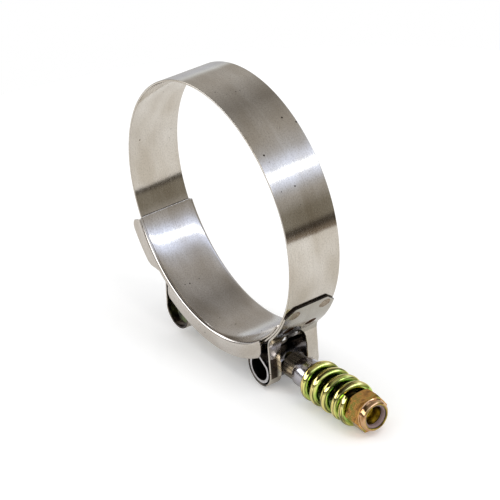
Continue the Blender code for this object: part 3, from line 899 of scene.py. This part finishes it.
# Most of the shank up to the nut, and the cross bar, get dark painted shade instead of the gold.
thread_painted_shade = plain_film("thread_painted_shade", (0.03, 0.025, 0.01), (0.16, 0.12, 0.04), 0.3, 500)
bar_painted_shade = plain_film("bar_painted_shade", (0.01, 0.01, 0.005), (0.16, 0.19, 0.08), 0.22, 420)
bolt.data.materials.append(thread_painted_shade)
bolt.data.materials.append(bar_painted_shade)
for face in bolt.data.polygons:
    if SHADED_THREAD_FROM_X < face.center.x * 1000 < NUT_X:
        face.material_index = 1
    elif face.center.x * 1000 < BAR_END_X:
        face.material_index = 2
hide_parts("t_bolt")
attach(bolt, "clamp")

# Trunnion: a half-round tube pressed from plain zinc-plated steel, which turns the loop's pull
# into a push along the bolt. The bolt passes through the middle of it.
TRUNNION_R = 5.0
TRUNNION_WALL = 0.9
TRUNNION_HALF = 9.5
HOLE_R = 3.45
FLAT_TURN = 52.0
FLAT_HALF = 26.0


def half_round(radius, depth):
    """A circle with one flat at that depth from its middle, as (x, z) points."""
    half = math.degrees(math.acos(depth / radius))
    return [polar(radius, FLAT_TURN + half + (360 - 2 * half) * i / 72) for i in range(73)]


def prism(outline, half_length):
    """An outline in the X-Z plane drawn out along Y about the trunnion's middle."""
    bm = bmesh.new()
    ends = []
    for y in (-half_length, half_length):
        spots = [Vector((TRUNNION_X + p.x, y, BOLT_LINE_Z + p.y)) for p in outline]
        ends.append([bm.verts.new(spot * MM) for spot in spots])
        bm.faces.new(ends[-1])
    for i in range(len(outline)):
        j = (i + 1) % len(outline)
        bm.faces.new((ends[0][i], ends[0][j], ends[1][j], ends[1][i]))
    return bm


def cut_away(piece, tool):
    """Cuts one solid out of another and removes the tool."""
    cut = piece.modifiers.new("cut", "BOOLEAN")
    cut.solver = "EXACT"
    cut.object = tool
    keep_shape(piece)
    bpy.data.objects.remove(tool)


def ease_edges(piece, width):
    """Rounds a solid's sharp edges."""
    ease = piece.modifiers.new("eased_edges", "BEVEL")
    ease.width = width * MM
    ease.segments = 3
    ease.limit_method = "ANGLE"
    ease.angle_limit = math.radians(35)
    ease.harden_normals = True


plain_zinc = plated("plain_zinc_film", [(0.20, 0.18, 0.17), (0.34, 0.32, 0.31)], 0.16, 0.004, 0.0003)
depth = TRUNNION_R * math.cos(math.radians(FLAT_HALF))
bm = prism(half_round(TRUNNION_R, depth), TRUNNION_HALF)
trunnion = piece_from("half_round_tube", bm, plain_zinc)
bm = prism(half_round(TRUNNION_R - TRUNNION_WALL, depth - TRUNNION_WALL), 12)
cut_away(trunnion, piece_from("tube_hollow", bm, plain_zinc))
bm = bmesh.new()
turned_shell(bm, [
    (TRUNNION_X - 8, 0), (TRUNNION_X - 8, HOLE_R), (TRUNNION_X + 8, HOLE_R), (TRUNNION_X + 8, 0),
], 64)
cut_away(trunnion, piece_from("tube_hole", bm, plain_zinc))
ease_edges(trunnion, 0.12)
keep_shape(trunnion)
cut_end = plain_film("cut_tube_end", (0.52, 0.50, 0.50), (0.72, 0.70, 0.70), 0.3, 900)
# Near-black painted shade inside the tube and its hole.
painted_tube_shade = plain_film("painted_tube_shade", (0.02, 0.018, 0.016), (0.06, 0.05, 0.045), 0.4, 600)
trunnion.data.materials.append(cut_end)
trunnion.data.materials.append(painted_tube_shade)
middle = Vector((TRUNNION_X, 0, BOLT_LINE_Z)) * MM
for face in trunnion.data.polygons:
    reach = face.center - middle
    reach.y = 0
    if abs(face.normal.y) > 0.6:
        face.material_index = 1
    elif reach.dot(face.normal) < 0 or reach.length < (TRUNNION_R - 0.5) * MM:
        face.material_index = 2
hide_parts("trunnion")
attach(trunnion, "clamp")

# Spacer: a sleeve turned from bright steel bar. Its narrow neck reaches through the slot to the
# trunnion, and its wider end carries the spring.
SPACER_X = 14.4
NECK_R = 4.3
SLEEVE_R = 5.0
SLEEVE_BORE_R = 3.42
NECK_LENGTH = 5.6
SLEEVE_LENGTH = 11.45

bm = bmesh.new()
turned_shell(bm, [
    (SPACER_X, SLEEVE_BORE_R), (SPACER_X, NECK_R - 0.2), (SPACER_X + 0.2, NECK_R),
    (SPACER_X + NECK_LENGTH - 0.3, NECK_R), (SPACER_X + NECK_LENGTH, NECK_R + 0.12),
    (SPACER_X + NECK_LENGTH + 0.25, SLEEVE_R - 0.08), (SPACER_X + NECK_LENGTH + 0.5, SLEEVE_R),
    (SPACER_X + SLEEVE_LENGTH - 0.4, SLEEVE_R), (SPACER_X + SLEEVE_LENGTH - 0.1, SLEEVE_R - 0.12),
    (SPACER_X + SLEEVE_LENGTH, SLEEVE_R - 0.4), (SPACER_X + SLEEVE_LENGTH, SLEEVE_BORE_R),
], 96)
bright_steel = plated("turned_bar", [(0.40, 0.38, 0.40), (0.64, 0.62, 0.65)], 0.16, 0.003, 0.0003)
spacer = piece_from("sleeve", bm, bright_steel)
# The neck is streaked dark and light along its length as painted reflections.
neck_painted_streaks = plain_film("neck_painted_streaks", (0.07, 0.05, 0.035), (0.90, 0.78, 0.60), 0.24, 1000, (0.05, 1, 1))
neck_painted_streaks.node_tree.nodes["Principled BSDF"].inputs["Metallic"].default_value = 0.9
spacer.data.materials.append(neck_painted_streaks)
for face in spacer.data.polygons:
    if face.center.x < (SPACER_X + NECK_LENGTH) * MM:
        face.material_index = 1
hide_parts("spacer")
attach(spacer, "clamp")

# Spring: 3.2 mm wire coiled left-handed over the bolt, with both ends closed in and ground flat,
# then zinc plated with a yellow-green film. It shortens as the nut is driven on.
SPRING_X = 26.15
SPRING_LENGTH = 22.75
WIRE_R = 1.6
COIL_R = 5.5
CLOSED_TURNS = 0.7
OPEN_TURNS = 3.2
CLOSED_PITCH = 2.7
GROUND_OFF = 0.8
START_ANGLE = -14
WIRE_SIDES = 24
COIL_STEPS = 48

end_gap = WIRE_R - GROUND_OFF
open_pitch = (SPRING_LENGTH - 2 * end_gap - 2 * CLOSED_TURNS * CLOSED_PITCH) / OPEN_TURNS
all_turns = 2 * CLOSED_TURNS + OPEN_TURNS
steps = round(all_turns * COIL_STEPS)
x = SPRING_X + end_gap
bm = bmesh.new()
round_wire = bm.loops.layers.uv.new("round_wire")
rings = []
for i in range(steps + 1):
    outward = Vector((0, *polar(1, START_ANGLE - 360 * i / steps * all_turns)))
    middle = Vector((x, 0, BOLT_LINE_Z)) + outward * COIL_R
    ring = []
    for k in range(WIRE_SIDES):
        side = polar(WIRE_R, 360 * k / WIRE_SIDES)
        ring.append(bm.verts.new((middle + outward * side.y + Vector((side.x, 0, 0))) * MM))
    rings.append(ring)
    turn_now = (i + 0.5) / steps * all_turns
    closed = turn_now < CLOSED_TURNS or turn_now > all_turns - CLOSED_TURNS
    x += (CLOSED_PITCH if closed else open_pitch) * all_turns / steps
for row, (first, second) in enumerate(zip(rings, rings[1:])):
    for k in range(WIRE_SIDES):
        after = (k + 1) % WIRE_SIDES
        face = bm.faces.new((first[k], first[after], second[after], second[k]))
        places = ((row, k), (row, k + 1), (row + 1, k + 1), (row + 1, k))
        for corner, (along, turned) in zip(face.loops, places):
            corner[round_wire].uv = (along / steps * all_turns, turned / WIRE_SIDES)
bm.faces.new(rings[0])
bm.faces.new(rings[-1])


def coil_film(name, round_colours, roughness):
    """Plating gold outside the coil and lime on its flanks, with painted shade on its inner side and
    painted dark reflections streaked along the wire.
    """
    mat = bpy.data.materials.new(name)
    mat.use_nodes = True
    tree = mat.node_tree
    shader = tree.nodes["Principled BSDF"]
    shader.inputs["Metallic"].default_value = 1
    shader.inputs["Roughness"].default_value = roughness
    place = tree.nodes.new("ShaderNodeUVMap")
    place.uv_map = "round_wire"
    turned = tree.nodes.new("ShaderNodeSeparateXYZ")
    solid = tree.nodes.new("ShaderNodeTexCoord")
    drift = tree.nodes.new("ShaderNodeTexNoise")
    drift.inputs["Scale"].default_value = 260
    drift.inputs["Detail"].default_value = 3
    shift = tree.nodes.new("ShaderNodeMapRange")
    shift.inputs["From Min"].default_value = 0.3
    shift.inputs["From Max"].default_value = 0.7
    shift.inputs["To Min"].default_value = -0.07
    shift.inputs["To Max"].default_value = 0.07
    moved = tree.nodes.new("ShaderNodeMath")
    moved.operation = "ADD"
    tints = tree.nodes.new("ShaderNodeValToRGB")
    for i, (at, colour) in enumerate(round_colours):
        stop = tints.color_ramp.elements[i] if i < 2 else tints.color_ramp.elements.new(at)
        stop.position = at
        stop.color = (*colour, 1)
    tree.links.new(place.outputs["UV"], turned.inputs[0])
    tree.links.new(solid.outputs["Object"], drift.inputs["Vector"])
    tree.links.new(drift.outputs["Fac"], shift.inputs["Value"])
    tree.links.new(turned.outputs["Y"], moved.inputs[0])
    tree.links.new(shift.outputs["Result"], moved.inputs[1])
    tree.links.new(moved.outputs[0], tints.inputs["Fac"])
    drawn = tree.nodes.new("ShaderNodeMapping")
    drawn.inputs["Scale"].default_value = (4, 14, 1)
    painted_reflection_streaks = tree.nodes.new("ShaderNodeTexNoise")
    painted_reflection_streaks.inputs["Scale"].default_value = 1
    painted_reflection_streaks.inputs["Detail"].default_value = 3
    reflection_darkness = tree.nodes.new("ShaderNodeMapRange")
    reflection_darkness.inputs["From Min"].default_value = 0.51
    reflection_darkness.inputs["From Max"].default_value = 0.58
    reflection_darkness.inputs["To Max"].default_value = 0.9
    painted_reflections = tree.nodes.new("ShaderNodeMix")
    painted_reflections.data_type = "RGBA"
    painted_reflections.inputs["B"].default_value = (0.07, 0.065, 0.02, 1)
    tree.links.new(place.outputs["UV"], drawn.inputs["Vector"])
    tree.links.new(drawn.outputs["Vector"], painted_reflection_streaks.inputs["Vector"])
    tree.links.new(painted_reflection_streaks.outputs["Fac"], reflection_darkness.inputs["Value"])
    tree.links.new(reflection_darkness.outputs["Result"], painted_reflections.inputs["Factor"])
    tree.links.new(tints.outputs["Color"], painted_reflections.inputs["A"])
    tree.links.new(painted_reflections.outputs["Result"], shader.inputs["Base Color"])
    return mat


# The near-black stops round the wire's inner side are painted shade.
lime = coil_film("lime_film", (
    (0.0, (0.40, 0.60, 0.14)), (0.10, (0.70, 0.80, 0.20)), (0.20, (0.90, 0.76, 0.30)),
    (0.30, (0.84, 0.68, 0.20)), (0.40, (0.56, 0.72, 0.20)), (0.50, (0.22, 0.46, 0.22)),
    (0.60, (0.07, 0.10, 0.04)), (0.75, (0.02, 0.018, 0.01)), (0.90, (0.07, 0.09, 0.03)),
    (1.0, (0.40, 0.60, 0.14)),
), 0.05)
spring = piece_from("coil_spring", bm, lime, 50)
bm = bmesh.new()
nut_end_x = SPRING_X + SPRING_LENGTH
turned_shell(bm, [(SPRING_X, 0), (SPRING_X, 10), (nut_end_x, 10), (nut_end_x, 0)], 32)
both_faces = piece_from("spring_ends", bm, lime)
grind = spring.modifiers.new("ground_ends", "BOOLEAN")
grind.operation = "INTERSECT"
grind.solver = "EXACT"
grind.object = both_faces
keep_shape(spring)
bpy.data.objects.remove(both_faces)
spring.data.set_sharp_from_angle(angle=math.radians(50))
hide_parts("spring")
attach(spring, "spring_stack")
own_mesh(spring)

# Lock nut: a hexagon 11.1 mm across its flats with a round collar. The collar's rim is rolled
# inwards over a nylon ring, and the plating is a brown bronze.
HEX_TURN = 5
HEX_LENGTH = 5.6
NUT_LENGTH = 7.9
NUT_BORE_R = 3.2
ACROSS_FLATS = 11.1
HEX_CORNER_R = ACROSS_FLATS / math.sqrt(3)
COLLAR_R = 5.0
COLLAR_BORE_R = 4.5
BORE_FACES_R = 3.9

bm = bmesh.new()
turned_shell(bm, [
    (NUT_X, NUT_BORE_R), (NUT_X, 5.5), (NUT_X + 0.5, HEX_CORNER_R + 0.05),
    (NUT_X + HEX_LENGTH - 0.55, HEX_CORNER_R + 0.05), (NUT_X + HEX_LENGTH - 0.05, 5.45),
    (NUT_X + HEX_LENGTH, COLLAR_R + 0.25), (NUT_X + HEX_LENGTH + 0.2, COLLAR_R + 0.03),
    (NUT_X + HEX_LENGTH + 0.5, COLLAR_R), (NUT_X + NUT_LENGTH - 0.95, COLLAR_R),
    (NUT_X + NUT_LENGTH - 0.5, COLLAR_R - 0.12), (NUT_X + NUT_LENGTH - 0.18, COLLAR_R - 0.4),
    (NUT_X + NUT_LENGTH, COLLAR_R - 0.75), (NUT_X + NUT_LENGTH - 0.05, COLLAR_R - 1.0),
    (NUT_X + NUT_LENGTH - 0.4, COLLAR_R - 1.1), (NUT_X + NUT_LENGTH - 0.5, COLLAR_BORE_R),
    (NUT_X + HEX_LENGTH + 0.1, COLLAR_BORE_R), (NUT_X + HEX_LENGTH + 0.1, NUT_BORE_R),
], 144)
bronze_tints = [(0.32, 0.16, 0.05), (0.72, 0.37, 0.10), (0.38, 0.35, 0.08)]
bronze = plated("bronze_film", bronze_tints, 0.13, 0.0022, 0.0004)
nut = piece_from("hexagon_nut", bm, bronze)
bm = bmesh.new()
flats = []
for x in (NUT_X - 3, NUT_X + 12):
    corners = [polar(HEX_CORNER_R, HEX_TURN + 60 * i) for i in range(6)]
    flats.append([bm.verts.new(Vector((x, p.x, BOLT_LINE_Z + p.y)) * MM) for p in corners])
    bm.faces.new(flats[-1])
for i in range(6):
    j = (i + 1) % 6
    bm.faces.new((flats[0][i], flats[0][j], flats[1][j], flats[1][i]))
hexagon = piece_from("hexagon", bm, bronze, 10)
trim = nut.modifiers.new("flats", "BOOLEAN")
trim.operation = "INTERSECT"
trim.solver = "EXACT"
trim.object = hexagon
keep_shape(nut)
bpy.data.objects.remove(hexagon)
nut.data.set_sharp_from_angle(angle=math.radians(28))
copper_tints = [(0.42, 0.22, 0.09), (0.66, 0.40, 0.22), (0.52, 0.36, 0.14)]
copper = plated("collar_film", copper_tints, 0.07, 0.002, 0.0003)
nut.data.materials.append(copper)
# The bore and the rim's inner faces get a darker mottled tone, partly painted shade in the recess.
nut.data.materials.append(plain_film("nut_bore", (0.10, 0.07, 0.02), (0.62, 0.48, 0.08), 0.30, 500))
axis = Vector((0, 0, BOLT_LINE_Z)) * MM
for face in nut.data.polygons:
    reach = face.center - axis
    reach.x = 0
    if reach.dot(face.normal) < 0 or reach.length < BORE_FACES_R * MM:
        face.material_index = 2
    elif face.center.x > (NUT_X + HEX_LENGTH - 0.02) * MM:
        face.material_index = 1
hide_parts("lock_nut")
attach(nut, "nut")

# Locking ring: plain grey-brown nylon, pressed into the nut's collar, which grips the thread.
RING_OUTER_R = 4.2
RING_BORE_R = 3.3
RING_FROM = 5.9
RING_TO = 7.3

bm = bmesh.new()
turned_shell(bm, [
    (NUT_X + RING_FROM, RING_BORE_R), (NUT_X + RING_FROM, RING_OUTER_R),
    (NUT_X + RING_TO, RING_OUTER_R), (NUT_X + RING_TO, RING_BORE_R + 0.15),
    (NUT_X + RING_TO - 0.25, RING_BORE_R),
], 96)
nylon = bpy.data.materials.new("nylon_ring")
nylon.use_nodes = True
tree = nylon.node_tree
shader = tree.nodes["Principled BSDF"]
shader.inputs["Roughness"].default_value = 0.5
place = tree.nodes.new("ShaderNodeTexCoord")
cloud = tree.nodes.new("ShaderNodeTexNoise")
cloud.inputs["Scale"].default_value = 700
tone = tree.nodes.new("ShaderNodeMix")
tone.data_type = "RGBA"
tone.inputs["A"].default_value = (0.22, 0.15, 0.14, 1)
tone.inputs["B"].default_value = (0.36, 0.26, 0.25, 1)
tree.links.new(place.outputs["Object"], cloud.inputs["Vector"])
tree.links.new(cloud.outputs["Fac"], tone.inputs["Factor"])
tree.links.new(tone.outputs["Result"], shader.inputs["Base Color"])
insert = piece_from("locking_ring", bm, nylon)
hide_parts("nylon_insert")
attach(insert, "nut")
